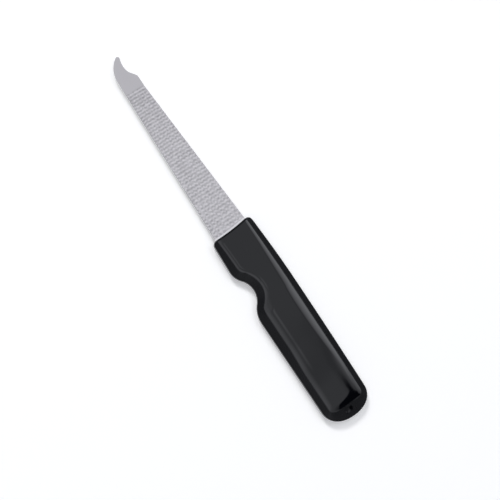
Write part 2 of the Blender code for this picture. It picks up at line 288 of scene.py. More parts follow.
for place, x in (("mouth", mouth_x), ("notch", notch_x), ("rear", butt_centre_x)):
    print("flank at the", place, "in mm:", round(flank_size(1, x, 0)[0] / mm, 2))

# %% [markdown]
# Inside the crest lies the crown. It rises steeply over a narrow shoulder on either side and
# is nearly flat between them, with a gentle fall towards the back. Slopes matter more here than
# heights, because a mirror shows slopes. So the slopes are written down along the line from
# crest to crest, and the heights are added up from them.

# %% The crown
# Width of the rounded shoulder inside the crest. The back one is widest part of the way along.
mouth_shoulder, back_shoulder, rear_shoulder, notch_shoulder = (v * mm for v in (1.6, 4.1, 1.8, 2.1))
widest_shoulder_from_mouth = 42 * mm
rear_shoulder_from_mouth = 72 * mm
plateau_edge_y = 3.2 * mm
butt_shoulder = 4.0 * mm
# Beside the narrower flank in the notch the shoulder widens, in the same way.
swell, swell_length, swell_from_rear = 1.7 * mm, 2.8 * mm, 6.2 * mm
crest_slope = 0.28
# The crown falls towards the back crest, less at the mouth than further on. Its fall begins with
# a gentle slope of its own.
mouth_fall, full_fall = 0.28 * mm, 0.66 * mm
gentle_width = 8.0 * mm
# Towards the butt the crown gets lower by this share.
roll_off_length = 20 * mm
roll_off_share = 0.15
# Points closer than this are one point.
weld_distance = 0.001 * mm
shoulder_steps = 12
crown_steps = 12
fillet_steps = 4
# A fillet takes up no more than this share of the piece of line on either side.
fillet_reach = 0.8


def shoulders(x, notch_crest_y):
    """Width and slope of the notch-side shoulder, width of the back one, and the fall to the back."""
    from_mouth = mouth_x - x
    to_widest = smooth(from_mouth / widest_shoulder_from_mouth)
    rear_length = rear_shoulder_from_mouth - widest_shoulder_from_mouth
    to_rear = smooth((from_mouth - widest_shoulder_from_mouth) / rear_length)
    back = mix(mix(mouth_shoulder, back_shoulder, to_widest), rear_shoulder, to_rear)
    notch = notch_shoulder
    if x < notch_x:
        notch = max(notch_shoulder, notch_crest_y - plateau_edge_y)
    # A wider shoulder is less steep, and so keeps the crown's height.
    wider = notch + swell * hump((x - notch_rear_x - swell_from_rear) / swell_length)
    return wider, crest_slope * notch / wider, back, mix(mouth_fall, full_fall, to_widest)


def crown_line(start, end, notch_width, notch_slope, back_width, back_fall):
    """Points from the notch crest to the back crest: place, height above them, nearer distance."""
    span = max(math.dist(start, end), weld_distance)
    gentle_slope = max(0, (2 * back_fall - crest_slope * back_width) / (back_width + gentle_width))
    squeeze = min(1, span / (notch_width + back_width + gentle_width / 4))
    first, last = notch_width * squeeze, back_width * squeeze
    near = first * np.linspace(0, 1, shoulder_steps + 1)
    middle = np.linspace(first, span - last, crown_steps + 1)[1:-1]
    distances = np.concatenate([near, middle, span - last * np.linspace(1, 0, shoulder_steps + 1)])
    to_back = span - distances
    slope = notch_slope * np.clip(1 - distances / first, 0, 1)
    slope -= (crest_slope - gentle_slope) * np.clip(1 - to_back / last, 0, 1)
    slope -= gentle_slope * np.clip(1 - (to_back - last) / (gentle_width * squeeze), 0, 1)
    # The slopes are added up along the line, and a slight tilt brings the far crest level again.
    height = np.concatenate([[0], np.cumsum((slope[1:] + slope[:-1]) / 2 * np.diff(distances))])
    height -= height[-1] * distances / span
    places = start + (end - start) * (distances / span)[:, None]
    return places[1:-1], height[1:-1], np.minimum(distances, to_back)[1:-1]


def soften(points, at):
    """Replaces the sharp corner at one index of a line of points by a small parabola."""
    corner = points[at]
    before, after = points[at - 1] - corner, points[at + 1] - corner
    lengths = np.linalg.norm(before), np.linalg.norm(after)
    reach = min(crest_fillet, *(fillet_reach * length for length in lengths))
    if reach <= 0:
        return points
    first, last = before / lengths[0] * reach, after / lengths[1] * reach
    turn = np.linspace(0, 1, fillet_steps + 1)[:, None]
    curve = corner + first * (1 - turn) ** 2 + last * turn**2
    return np.vstack([points[:at], curve, points[at + 1 :]])


print("back shoulder at its widest in mm:", round(back_shoulder / mm, 2))

# %% [markdown]
# ## Whole sections
# A section is the two flanks with the crown between them, and a plainer underside with a flat
# foot. At the mouth the mould had rounded corners and edges, and its face is not square to the
# handle: it leans over, and its line is bowed, with the middle lying back a little. A second
# number rides on each point, its share of flank: the material uses it later to tell the satin
# flank from the polished crown.

# %% One section
mouth_corner_radius = 2.3 * mm
mouth_edge_radius = 0.5 * mm
mouth_slant = math.radians(4.1)
# The bow grows with the square of the distance from the centreline.
mouth_bow, mouth_hollow = 0.0055 / mm, 0.02 * mm
mouth_slant_length = 10 * mm
# The flank's satin runs this far over the crest.
satin_overlap = 0.4 * mm
foot_steps = 8


def half_section(x, mouth_turn, butt_turn):
    """The upper line of a section, from the notch side over the crown to the back, in 3D."""
    corner_inset = mouth_corner_radius * (1 - math.cos(mouth_turn))
    flanks = []
    for side in (1, -1):
        edge, inward = edge_point(side, x, butt_turn)
        width, wall = flank_size(side, x, butt_turn)
        profile = flank_profile(width, wall)
        inset = corner_inset + profile[:, :1] * (width - corner_inset) / width
        flanks.append(np.hstack([edge + inward * inset, profile[:, 1:]]))
    notch, back = flanks
    places, heights, reach = crown_line(notch[-1, :2], back[-1, :2], *shoulders(x, notch[-1, 1]))
    from_crest = places[:, 0] - butt_x - butt_flank
    fall = rounded(from_crest / butt_shoulder)
    roll_off = 1 - roll_off_share * np.clip(1 - from_crest / roll_off_length, 0, 1) ** 2
    crown = np.column_stack([places, crest_rise + heights * fall * roll_off])
    line = np.vstack([notch, crown, back[::-1]])
    crown_flank = np.clip(1 - reach / satin_overlap, 0, 1)
    flank = np.concatenate([np.ones(len(notch)), crown_flank, np.ones(len(back))])
    first, second = len(notch) - 1, len(notch) + len(crown)
    line = soften(soften(line, second), first)
    steps = np.ones(fillet_steps + 1)
    flank = np.concatenate([flank[:first], steps, flank[first + 1 : second], steps, flank[second + 1 :]])
    return line, flank, notch, back


def mouth_reach(y):
    """How far the mouth's leaning, slightly hollow line stands out beyond its planned place."""
    return mouth_bow * y**2 - math.tan(mouth_slant) * y - mouth_hollow


def lean(points):
    """Leans the mouth over, less and less with the distance from it."""
    share = np.clip(1 - (mouth_x - points[:, 0]) / mouth_slant_length, 0, 1)
    points[:, 0] += mouth_reach(points[:, 1]) * share
    return points


def full_section(x, mouth_turn, butt_turn):
    """A closed section: the upper line, then the plainer lower one with its flat foot."""
    line, flank, notch, back = half_section(x, mouth_turn, butt_turn)
    mirror = np.array([1, 1, -1])
    start, end = back[-1], notch[-1]
    span = math.dist(start[:2], end[:2])
    first = foot_shoulder_width / max(span, 2 * foot_shoulder_width)
    foot = []
    for share in np.linspace(first, 1 - first, foot_steps + 1):
        place = start[:2] + (end[:2] - start[:2]) * share
        depth = foot_height * rounded((place[0] - butt_x - butt_flank) / foot_shoulder_width)
        foot.append((*place, -crest_rise - depth))
    loop = np.vstack([line, back * mirror, foot, (notch * mirror)[::-1]])
    squeeze = 1 - mouth_edge_radius * (1 - math.cos(mouth_turn)) / crest_rise
    loop[:, 2] = middle_z + loop[:, 2] * squeeze
    return lean(loop), np.concatenate([flank, np.ones(len(loop) - len(flank))])


print("points in a section:", len(full_section(notch_x, 0, 0)[0]))

# %% [markdown]
# Every piece of this scene is a closed mesh made from a list of points and faces. Doubled points
# are merged, the normals are turned outwards, and only real creases are shaded as sharp.

# %% From points to an object
# Edges that turn by more than this stay crisp.
crease = math.radians(32)
quad_corners = 4


def link_mesh(mesh, work, sharp_angle):
    """Fills the mesh from a bmesh and links a smooth-shaded object whose creases stay crisp."""
    work.to_mesh(mesh)
    work.free()
    mesh.shade_smooth()
    mesh.set_sharp_from_angle(angle=sharp_angle)
    made = bpy.data.objects.new(mesh.name, mesh)
    bpy.context.scene.collection.objects.link(made)
    return made


def add_object(name, points, faces, **weights):
    """A smooth-shaded closed mesh. Each weight is a named list with one number for each point."""
    mesh = bpy.data.meshes.new(name)
    mesh.from_pydata([tuple(p) for p in points], [], faces)
    for weight_name, values in weights.items():
        mesh.attributes.new(weight_name, "FLOAT", "POINT").data.foreach_set("value", values)
    work = bmesh.new()
    work.from_mesh(mesh)
    bmesh.ops.remove_doubles(work, verts=work.verts, dist=weld_distance)
    bmesh.ops.recalc_face_normals(work, faces=work.faces)
    # A cap whose rim is bowed is split evenly, so that it follows the bow.
    caps = [face for face in work.faces if len(face.verts) > quad_corners]
    bmesh.ops.triangulate(work, faces=caps, ngon_method="BEAUTY")
    return link_mesh(mesh, work, crease)


def skin(sections, cap_end=False):
    """Quads between neighbouring closed sections, a cap on the first and, if asked, on the last."""
    count = len(sections[0])
    faces = [list(range(count))]
    for row in range(len(sections) - 1):
        for k in range(count):
            here, after = row * count + k, row * count + (k + 1) % count
            faces.append([here, after, after + count, here + count])
    if cap_end:
        faces.append(list(range((len(sections) - 1) * count, len(sections) * count)))
    return faces


print("edges sharper than", round(math.degrees(crease)), "degrees stay crisp")

# %% [markdown]
# ## The handle as a mesh
# The sections are strung along the handle like slices of bread and skinned with quads. They
# stand about half a millimetre apart, closer in the notch and round the butt, so that smooth
# shading has no facets left to hide. Round the butt they fan out from one centre.

# %% Skinning the handle
station_step = 0.55 * mm
notch_step = 0.4 * mm
butt_turns = 48
mouth_turns = 7


def handle_stations():
    """From mouth to butt: x, turn of the mouth's round edges, and turn round the butt."""
    corner_x = mouth_x - mouth_corner_radius
    stations = []
    for turn in np.linspace(math.pi / 2, 0, mouth_turns + 1)[:-1]:
        stations.append((corner_x + mouth_corner_radius * math.sin(turn), turn, 0))
    legs = (
        (corner_x, notch_lip_x, station_step),
        (notch_lip_x, notch_rear_x, notch_step),
        (notch_rear_x, butt_centre_x, station_step),
    )
    for start, end, step in legs:
        places = np.linspace(start, end, math.ceil((start - end) / step) + 1)
        stations += [(x, 0, 0) for x in places[:-1]]
    turns = np.linspace(0, math.pi / 2, butt_turns + 1)
    return stations + [(butt_centre_x, 0, turn) for turn in turns]


sections = [full_section(*station) for station in handle_stations()]
handle_points = np.vstack([loop for loop, flank in sections])
handle_flank = np.concatenate([flank for loop, flank in sections])
handle_faces = skin([loop for loop, flank in sections])
handle = add_object("handle_shell", handle_points, handle_faces, flank=handle_flank)
print("handle:", len(sections), "sections of", len(sections[0][0]), "points")

# %% [markdown]
# ## The blade's outline
# The blade is stamped from strip, tapers evenly and ends in a hooked cleaner: the front edge
# bends over in one large arc, the back edge dips into a throat, and both meet in a small
# round nose. The arcs are worked out so that each is tangent to the next, and a table of
# points read off them then gives the edge at any place along the blade.

# %% The hook and the tapering edges
blade_thickness = blade_high.z - blade_low.z
tip_x = blade_high.x
root_width = 15.6 * mm
smooth_tip_length = 15.2 * mm
hook_back_offset = 3.8 * mm
hook_front_offset = 4.7 * mm
hook_outer_radius = 10.8 * mm
hook_nose_radius = 0.95 * mm
throat_from_shoulder = 4.1 * mm
throat_depth = 2.9 * mm
throat_inner_radius = 6.0 * mm
throat_outer_radius = 12.0 * mm
throat_run = math.radians(38)
throat_corner_radius = 1.5 * mm
teeth_end_x = tip_x - smooth_tip_length
arc_points = 40


def arc(centre, radius, start, end):
    """Points of an arc from one angle to another."""
    angles = np.linspace(start, end, arc_points)
    return np.stack([centre[0] + radius * np.cos(angles), centre[1] + radius * np.sin(angles)], 1)


def hook_lines():
    """The hook's back line and front line, from their shoulders to the nose, as (x, y) points."""
    outer = np.array([0, hook_front_offset - hook_outer_radius])
    inner = np.array([throat_from_shoulder, throat_depth - hook_back_offset - throat_inner_radius])
    far = np.array([throat_from_shoulder, throat_depth - hook_back_offset - throat_outer_radius])
    to_outer, to_far = hook_outer_radius - hook_nose_radius, throat_outer_radius + hook_nose_radius
    apart = np.linalg.norm(far - outer)
    along = (to_outer**2 - to_far**2 + apart**2) / (2 * apart)
    ux, uy = (far - outer) / apart
    aside = math.sqrt(to_outer**2 - along**2)
    nose = outer + np.array([ux * along - uy * aside, uy * along + ux * aside])
    shoulder_x = tip_x - hook_nose_radius - nose[0]
    throat = arc(inner, throat_inner_radius, math.pi / 2 + throat_run, math.pi / 2)
    corner_x = throat[0, 0] - (throat[0, 1] + hook_back_offset) / math.tan(throat_run)
    corner_x -= throat_corner_radius * math.tan(throat_run / 2)
    corner_centre = (corner_x, throat_corner_radius - hook_back_offset)
    corner = arc(corner_centre, throat_corner_radius, -math.pi / 2, throat_run - math.pi / 2)
    far_end = math.atan2(*(nose - far)[::-1])
    outer_end = math.atan2(*(nose - outer)[::-1])
    back = [corner, throat, arc(far, throat_outer_radius, math.pi / 2, far_end)]
    back.append(arc(nose, hook_nose_radius, far_end - math.pi, 0))
    front = [arc(outer, hook_outer_radius, math.pi / 2, outer_end)]
    front.append(arc(nose, hook_nose_radius, outer_end, 0))
    return [np.vstack(lines) + [shoulder_x, 0] for lines in (back, front)]


hook_back, hook_front = hook_lines()


def blade_edges(x):
    """y of the back edge and of the front edge at x."""
    if x > hook_back[0, 0]:
        back = np.interp(x, hook_back[:, 0], hook_back[:, 1])
    else:
        share = (x - mouth_x) / (teeth_end_x - mouth_x)
        back = -(root_width / 2 + (hook_back_offset - root_width / 2) * min(share, 1))
    if x > hook_front[0, 0]:
        return back, np.interp(x, hook_front[:, 0], hook_front[:, 1])
    share = (x - mouth_x) / (hook_front[0, 0] - mouth_x)
    return back, root_width / 2 + (hook_front_offset - root_width / 2) * share


print("hook from x =", round(hook_back[0, 0] / mm, 1), "mm, nose at", round(tip_x / mm, 2), "mm")

# %% [markdown]
# ## The teeth
# A nail file of this kind is cut three times: one set of cuts runs straight across, and two
# sets cross it aslant, which breaks the rows into staggered points. Each set is a wave over
# the steel, written as how many cuts there are per millimetre along and across the blade.
# The rows stand 1.6 mm apart beside the handle and draw closer towards the tip, to 1.4 mm,
# where the straight set is also struck deeper. No chisel strikes twice alike: the rows wander a
# little, and a seeded noise makes some teeth deeper and darker than others. Between the handle
# and the first row a narrow strip of steel, the land, is left uncut; it and the blade's rim are
# painted bright, as a painted highlight.

# %% Tooth depth
# Of each set: cuts per length along and across the blade, depth at the handle, depth at the tip.
cut_sets = (
    ((0.611 / mm, -0.019 / mm), 0.03 * mm, 0.048 * mm),
    ((0.575 / mm, 0.483 / mm), 0.016 * mm, 0.012 * mm),
    ((0.635 / mm, -0.508 / mm), 0.012 * mm, 0.008 * mm),
)
cut_total = sum(max(depths) for wave, *depths in cut_sets)
# In tone, plain ground steel lies between the ridges of the teeth (0) and their floors (1).
# The ridges' lighter grey and the floors' darker grey are painted highlight and painted shade.
uncut_share = 0.45
# How fast the cuts draw closer towards the tip.
crowding = 0.00145 / mm
# How far the rows wander, as a share of their spacing, and over what length.
wander, wander_length = 0.1, 11 * mm
# The noise from strike to strike: size of its cells, and how much it changes tone and depth.
grain_cell, grain_tone, grain_depth = 0.5 * mm, 0.3, 0.012 * mm
grain_start_x = mouth_x - 5 * mm
grain_seed, grain_cells = 5, (260, 48)
grain_table = np.random.default_rng(grain_seed).uniform(-1, 1, grain_cells)
land_width = 0.55 * mm
land_fade_length = 0.3 * mm
cut_fade_length = 0.5 * mm
# The blade's rim is rounded by this much, and the cuts nick it by this much.
edge_round = 0.12 * mm
edge_nick = 0.2 * mm


def from_handle(x, y):
    """Distance from the handle's leaning mouth."""
    return x - mouth_x - mouth_reach(y)


def grain(x, y):
    """The unevenness from strike to strike: seeded noise from -1 to 1, smooth between its cells."""
    u, v = (x - grain_start_x) / grain_cell, (y + half_width) / grain_cell
    column, row = int(u), v.astype(int)
    across, along = smooth(v - row), smooth(u - column)
    near, far = grain_table[column], grain_table[column + 1]
    return mix(mix(near[row], near[row + 1], across), mix(far[row], far[row + 1], across), along)


def cuts(x, y):
    """Depth of the crossed cuts below the blank's surface, and their tone, which paints highlight on the
    ridges and shade in the floors: ridge 0 to floor 1.
    """
    to_tip = np.clip((x - mouth_x) / (teeth_end_x - mouth_x), 0, 1)
    depth = 0
    for turn, ((along, across), at_handle, at_tip) in enumerate(cut_sets):
        drift = wander * math.sin(x / wander_length + turn) * np.cos(y / wander_length * 2 - turn)
        wave = along * x * (1 + crowding * x) + across * y + drift
        depth = depth + mix(at_handle, at_tip, to_tip) * (1 - np.cos(2 * math.pi * wave)) / 2
    fade_in = np.clip((from_handle(x, y) - land_width) / cut_fade_length, 0, 1)
    fade_out = np.clip((teeth_end_x - x) / cut_fade_length, 0, 1)
    struck, uneven = fade_in * fade_out, grain(x, y)
    tone = np.clip(depth / cut_total + grain_tone * uneven, 0, 1)
    return (depth + grain_depth * (1 + uneven)) * struck, mix(uncut_share, tone, struck)


print("deepest cut in mm:", round(cut_total / mm, 3))

# %% [markdown]
# ## The blade as a mesh
# The blade is a pair of fine grids, top and underside, joined round the rim. Rows run across
# the blade every fifth of a millimetre and bunch up at the nose, so that its round end stays
# round. The part inside the handle, a narrow tang with two key notches that lock it in the
# plastic, is never seen, but it belongs to the piece and is cut to the CAD's sizes.

# %% The root and tang
seat_depth = 4.0 * mm
seat_x = mouth_x - seat_depth
tang_length = 52 * mm
tang_half_width = 3.5 * mm
tang_offset = 1.0 * mm
tang_end_chamfer = 2.0 * mm
tang_key_from_shoulder = 16 * mm
tang_key_length = 4.5 * mm
tang_key_depth = 1.2 * mm


def tang_outline():
    """The hidden root, from the notch side of the seat round the tang to its back."""
    key_x, end_x = seat_x - tang_key_from_shoulder, seat_x - tang_length
    waist = tang_half_width - tang_key_depth
    side = [(seat_x, tang_half_width), (key_x, tang_half_width), (key_x, waist)]
    side += [(key_x - tang_key_length, waist), (key_x - tang_key_length, tang_half_width)]
    side += [(end_x + tang_end_chamfer, tang_half_width), (end_x, tang_half_width - tang_end_chamfer)]
    back_y, front_y = blade_edges(seat_x)
    front = [(x, y - tang_offset) for x, y in side]
    back = [(x, -y - tang_offset) for x, y in reversed(side)]
    return [(seat_x, front_y)] + front + back + [(seat_x, back_y)]


print("tang inside the handle in mm:", round((seat_depth + tang_length) / mm, 1))

# %% The toothed face
row_step = 0.2 * mm
nose_rows = 14
columns = 84
first_row_from_seat = 1.0 * mm
first_row_x = seat_x + first_row_from_seat


def blade_grid():
    """Rows of points on the top face: x, y, depth below the face, tone of the cut's painted highlight and
    shade, share of land.
    """
    nose_start = tip_x - hook_nose_radius
    steps = math.ceil((nose_start - first_row_x) / row_step)
    rows = list(np.linspace(first_row_x, nose_start, steps + 1))
    turns = np.linspace(0, math.pi / 2, nose_rows + 1)[1:]
    rows += [nose_start + hook_nose_radius * math.sin(turn) for turn in turns]
    grid = []
    for x in rows:
        back_y, front_y = blade_edges(x)
        nick = edge_nick * cuts(x, np.array([back_y, front_y]))[0] / cut_total
        back_y, front_y = back_y + nick[0], front_y - nick[1]
        width = front_y - back_y
        inset = min(edge_round, width / 4)
        inner = np.linspace(back_y + inset, front_y - inset, columns - 1)
        y = np.concatenate([[back_y], inner, [front_y]])
        depth, cut = cuts(x, y)
        depth[[0, -1]] = inset
        # The land by the handle and the whole rim get the land's bright grey, a painted highlight.
        land = 1 - smooth((from_handle(x, y) - land_width) / land_fade_length + 0.5)
        land[[0, -1]] = 1
        grid.append(np.column_stack([np.full(columns + 1, x), y, depth, cut, land]))
    return np.array(grid)


toothed_face = blade_grid()
print("toothed face:", toothed_face.shape[0], "rows of", toothed_face.shape[1], "points")

# %% [markdown]
# The second face is the same grid upside down. One list of points goes once round the blade,
# along the back, round the nose, along the front and round the tang, and a rim of quads joins
# the two faces along it.


# %% Joining the two faces
def build_blade(grid):
    """Both faces of the blade and the rim between them, as one closed mesh."""
    rows, width = grid.shape[:2]
    points = grid.reshape(rows * width, -1)
    root = np.array([(x, y, 0, 0, 1) for x, y in tang_outline()])
    top = np.vstack([points, root])
    root_indices = list(range(len(points), len(top)))
    surface = [[width - 1] + root_indices + list(range(width - 1))]
    for row in range(rows - 1):
        for column in range(width - 1):
            here = row * width + column
            surface.append([here, here + width, here + width + 1, here + 1])
    back_line = [row * width for row in range(rows)]
    tip_line = list(range((rows - 1) * width + 1, rows * width - 1))
    front_line = [row * width + width - 1 for row in reversed(range(rows))]
    rim = back_line + tip_line + front_line + root_indices
    half, middle = blade_thickness / 2, (blade_high.z + blade_low.z) / 2
    upper = np.column_stack([top[:, :2], middle + half - top[:, 2]])
    lower = np.column_stack([top[:, :2], middle - half + top[:, 2]])
    under = len(upper)
    faces = surface + [[under + k for k in reversed(face)] for face in surface]
    faces += [[k, under + k, under + after, after] for k, after in zip(rim, rim[1:] + rim[:1])]
    cut, land = (np.concatenate([top[:, k], top[:, k]]) for k in (3, 4))
    return add_object("blade_steel", np.vstack([upper, lower]), faces, cut=cut, land=land)


blade = build_blade(toothed_face)
print("blade:", len(blade.data.polygons), "faces")

# %% [markdown]
# ## The socket and the gate mark
# The handle is moulded round the blade's root, so its socket is the root's own outline with a
# hair of clearance. On the slope of the butt the mould's gate has left a small dished mark.
# Both are cut with Boolean modifiers, which keep the moulded surface around them as it is, and
# the result is then made into a plain mesh.

# %% The socket's cutter
fit_clearance = 0.3 * mm
cut_overrun = 1.0 * mm


def prism(name, outline, low, high):
    """An upright block on an outline, from one height to another."""
    loops = [np.array([(x, y, z) for x, y in outline]) for z in (low, high)]
    return add_object(name, np.vstack(loops), skin(loops, cap_end=True))


def grown_root(clearance):
    """The root's outline grown all round, drawn out through the mouth."""
    half, waist = tang_half_width + clearance, tang_half_width - tang_key_depth + clearance
    key_x = seat_x - tang_key_from_shoulder - clearance
    key_end_x, end_x = key_x - tang_key_length + 2 * clearance, seat_x - tang_length - clearance
    side = [(seat_x - clearance, half), (key_x, half), (key_x, waist), (key_end_x, waist)]
    side += [(key_end_x, half), (end_x + tang_end_chamfer, half), (end_x, half - tang_end_chamfer)]
    out_x = mouth_x + mouth_reach(-half_width) + cut_overrun
    rims = []
    for x in (out_x, seat_x - clearance):
        back_y, front_y = blade_edges(x)
        rims.append((x, back_y - clearance, front_y + clearance))
    front = [(x, front_y) for x, back_y, front_y in rims] + [(x, y - tang_offset) for x, y in side]
    back = [(x, -y - tang_offset) for x, y in reversed(side)]
    return front + back + [(x, back_y) for x, back_y, front_y in reversed(rims)]


slot_half = blade_thickness / 2 + fit_clearance
socket_low, socket_high = middle_z - slot_half, middle_z + slot_half
socket_cutter = prism("socket_cutter", grown_root(fit_clearance), socket_low, socket_high)
print("socket height in mm:", round(2 * slot_half / mm, 2))

# %% The gate mark's cutters
gate_from_butt = 3.45 * mm
# The pit where the gate broke off and the shallow dish beside it: sideways place, radius, depth.
gate_pit = (-0.55 * mm, 0.8 * mm, 1.2 * mm)
gate_dish = (1.35 * mm, 1.2 * mm, 0.13 * mm)
# The pit narrows to a tiny flat floor, this share of its radius.
pit_floor = 0.1
pit_segments = 48
dish_subdivisions = 5
gate_crease = math.radians(40)


def gate_cutter(name, across, radius, depth, pointed):
    """A cone or a ball that sinks into the slope of the butt far enough to leave its round mark."""
    profile = flank_profile(butt_flank, butt_wall)
    slope = math.atan2(profile[-1, 1] - profile[-2, 1], profile[-1, 0] - profile[-2, 0])
    rise = np.interp(gate_from_butt, profile[:, 0], profile[:, 1])
    foot = Vector((butt_x + gate_from_butt, butt_centre_y + across, middle_z + rise))
    place = Matrix.Translation(foot) @ Matrix.Rotation(-slope, 4, "Y")
    work = bmesh.new()
    if pointed:
        tip = pit_floor * radius
        sizes = {"radius1": tip, "radius2": 2 * radius - tip, "depth": 2 * depth}
        bmesh.ops.create_cone(work, cap_ends=True, segments=pit_segments, matrix=place, **sizes)
    else:
        ball = (radius**2 + depth**2) / (2 * depth)
        lifted = place @ Matrix.Translation((0, 0, ball - depth))
        sizes = {"subdivisions": dish_subdivisions, "radius": ball}
        bmesh.ops.create_icosphere(work, matrix=lifted, **sizes)
    return link_mesh(bpy.data.meshes.new(name), work, gate_crease)


pit = gate_cutter("gate_pit", *gate_pit, pointed=True)
dish = gate_cutter("gate_dish", *gate_dish, pointed=False)
print("gate mark at x =", round((butt_x + gate_from_butt) / mm, 2), "mm")


# %% Cutting the handle
def carve(target, cutters):
    """Takes the cutters out of the target for good, and removes them. The cut rims stay crisp."""
    for cutter in cutters:
        cut = target.modifiers.new(cutter.name, "BOOLEAN")
        cut.operation, cut.solver, cut.object = "DIFFERENCE", "EXACT", cutter
    graph = bpy.context.evaluated_depsgraph_get()
    carved = bpy.data.meshes.new_from_object(target.evaluated_get(graph))
    target.modifiers.clear()
    carved.set_sharp_from_angle(angle=crease)
    target.data = carved
    for cutter in cutters:
        bpy.data.objects.remove(cutter, do_unlink=True)


carve(handle, [socket_cutter, pit, dish])
print("handle:", len(handle.data.polygons), "faces after cutting")

# %% [markdown]
# ## Black plastic, injection moulded and polished
# The handle is a glossy moulded plastic such as ABS or polystyrene. Its own colour is nearly
# black; what the eye sees on the crown is the mirrored studio. A polished mould leaves a low
# roughness and a very slight waviness, which makes the reflected edges wander a little. The
# flank came from a duller part of the mould, and its reflections are softer.

# %% The plastic
# The waviness of the crown, where the plastic shrank, and the faint unevenness of the polish:
# how wide, and how high.
sink_size, sink_rise = 9 * mm, 0.012 * mm
polish_size, polish_rise = 0.9 * mm, 0.0006 * mm
crown_roughness, flank_roughness = (0.03, 0.06), 0.25
plastic_dark, plastic_pale = "#040508", "#07080C"
plastic_ior = 1.5


def moulded_black_plastic():
    """Polished on the crown and satin on the flank, as the share of flank on each point says."""
    material, tree, shader = new_material("moulded_black_plastic")
    place = add_node(tree, "TexCoord").outputs["Object"]
    flank = add_node(tree, "Attribute", attribute_name="flank").outputs["Fac"]
    sinks = add_node(tree, "TexNoise", {"Vector": place, "Scale": 1 / sink_size, "Detail": 1})
    polish = add_node(tree, "TexNoise", {"Vector": place, "Scale": 1 / polish_size, "Detail": 3})
    wavy = add_node(tree, "Bump", {"Height": sinks.outputs["Fac"], "Distance": sink_rise})
    uneven_inputs = {"Height": polish.outputs["Fac"], "Distance": polish_rise}
    uneven = add_node(tree, "Bump", {**uneven_inputs, "Normal": wavy.outputs["Normal"]})
    least, most = crown_roughness
    crown = add_node(tree, "MapRange", {"Value": polish.outputs["Fac"], "To Min": least, "To Max": most})
    gloss_inputs = {"Factor": flank, 2: crown.outputs["Result"], 3: flank_roughness}
    roughness = add_node(tree, "Mix", gloss_inputs, data_type="FLOAT")
    tint_inputs = {"Factor": sinks.outputs["Fac"], 6: linear(plastic_dark), 7: linear(plastic_pale)}
    tint = add_node(tree, "Mix", tint_inputs, data_type="RGBA")
    tree.links.new(tint.outputs[2], shader.inputs["Base Color"])
    tree.links.new(roughness.outputs[0], shader.inputs["Roughness"])
    tree.links.new(uneven.outputs["Normal"], shader.inputs["Normal"])
    shader.inputs["IOR"].default_value = plastic_ior
    return material


handle.data.materials.append(moulded_black_plastic())
print("handle finish:", handle.active_material.name)

# %% [markdown]
# ## Stainless steel, ground and then cut
# The blank is ground along its length, which leaves fine parallel lines and a soft, silky
# reflection. The cuts are struck into it with a chisel: their floors stay rougher than the
# ridges that rub on nails and on the pouch. The floors are painted a darker grey as shade in
# the cuts, and the ridges a lighter one as highlight. A metal's colour is its mirror colour,
# so the base colour is a light, barely warm grey.

# %% The steel
# Real grinding lines are finer than the render can show, about 0.05 mm, and are drawn wider.
line_width, line_length, line_rise = 0.35 * mm, 14 * mm, 0.0008 * mm
patch_size = 6 * mm
ridge_roughness, floor_roughness, land_roughness = (0.3, 0.4), 0.5, 0.15
# The ridges are painted lighter and the floors of the cuts darker, as painted highlight and shade. The
# land's grey is a painted highlight.
ridge_highlight_grey, floor_shade_grey, land_and_rim_highlight = "#DCD9DA", "#A9A6A8", "#F4F2F2"


def ground_stainless_steel():
    """Satin ridges painted lighter, duller floors of the cuts painted darker as shade, and the uncut strip
    and the rim painted bright as a highlight.
    """
    material, tree, shader = new_material("ground_stainless_steel")
    place = add_node(tree, "TexCoord").outputs["Object"]
    cut = add_node(tree, "Attribute", attribute_name="cut").outputs["Fac"]
    land = add_node(tree, "Attribute", attribute_name="land").outputs["Fac"]
    stretch = (line_width / line_length, 1, 1)
    drawn = add_node(tree, "Mapping", {"Vector": place, "Scale": stretch})
    line_inputs = {"Vector": drawn.outputs["Vector"], "Scale": 1 / line_width, "Detail": 4}
    lines = add_node(tree, "TexNoise", line_inputs)
    patches = add_node(tree, "TexNoise", {"Vector": place, "Scale": 1 / patch_size, "Detail": 3})
    grooves = add_node(tree, "Bump", {"Height": lines.outputs["Fac"], "Distance": line_rise})
    least, most = ridge_roughness
    ridges = add_node(tree, "MapRange", {"Value": patches.outputs["Fac"], "To Min": least, "To Max": most})
    satin_inputs = {"Factor": cut, 2: ridges.outputs["Result"], 3: floor_roughness}
    satin = add_node(tree, "Mix", satin_inputs, data_type="FLOAT")
    rough_inputs = {"Factor": land, 2: satin.outputs[0], 3: land_roughness}
    roughness = add_node(tree, "Mix", rough_inputs, data_type="FLOAT")
    # Painted highlight on the ridges and painted shade in the floors of the cuts.
    grey_inputs = {"Factor": cut, 6: linear(ridge_highlight_grey), 7: linear(floor_shade_grey)}
    grey = add_node(tree, "Mix", grey_inputs, data_type="RGBA")
    # Painted highlight on the land and along the rim.
    tone_inputs = {"Factor": land, 6: grey.outputs[2], 7: linear(land_and_rim_highlight)}
    tone = add_node(tree, "Mix", tone_inputs, data_type="RGBA")
    tree.links.new(tone.outputs[2], shader.inputs["Base Color"])
    tree.links.new(roughness.outputs[0], shader.inputs["Roughness"])
    tree.links.new(grooves.outputs["Normal"], shader.inputs["Normal"])
    shader.inputs["Metallic"].default_value = 1
    return material


blade.data.materials.append(ground_stainless_steel())
print("blade finish:", blade.active_material.name)

# %% [markdown]
# ## Joining the frame
# Each fine piece stands for the CAD node that it was made from and moves with the same body.

# %% Riding on the frame
for piece, node, slot in ((handle, "handle", "handle_plastic"), (blade, "blade", "file_steel")):
    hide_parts(node)
    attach(piece, "root")
print("pieces:", handle.name, blade.name)

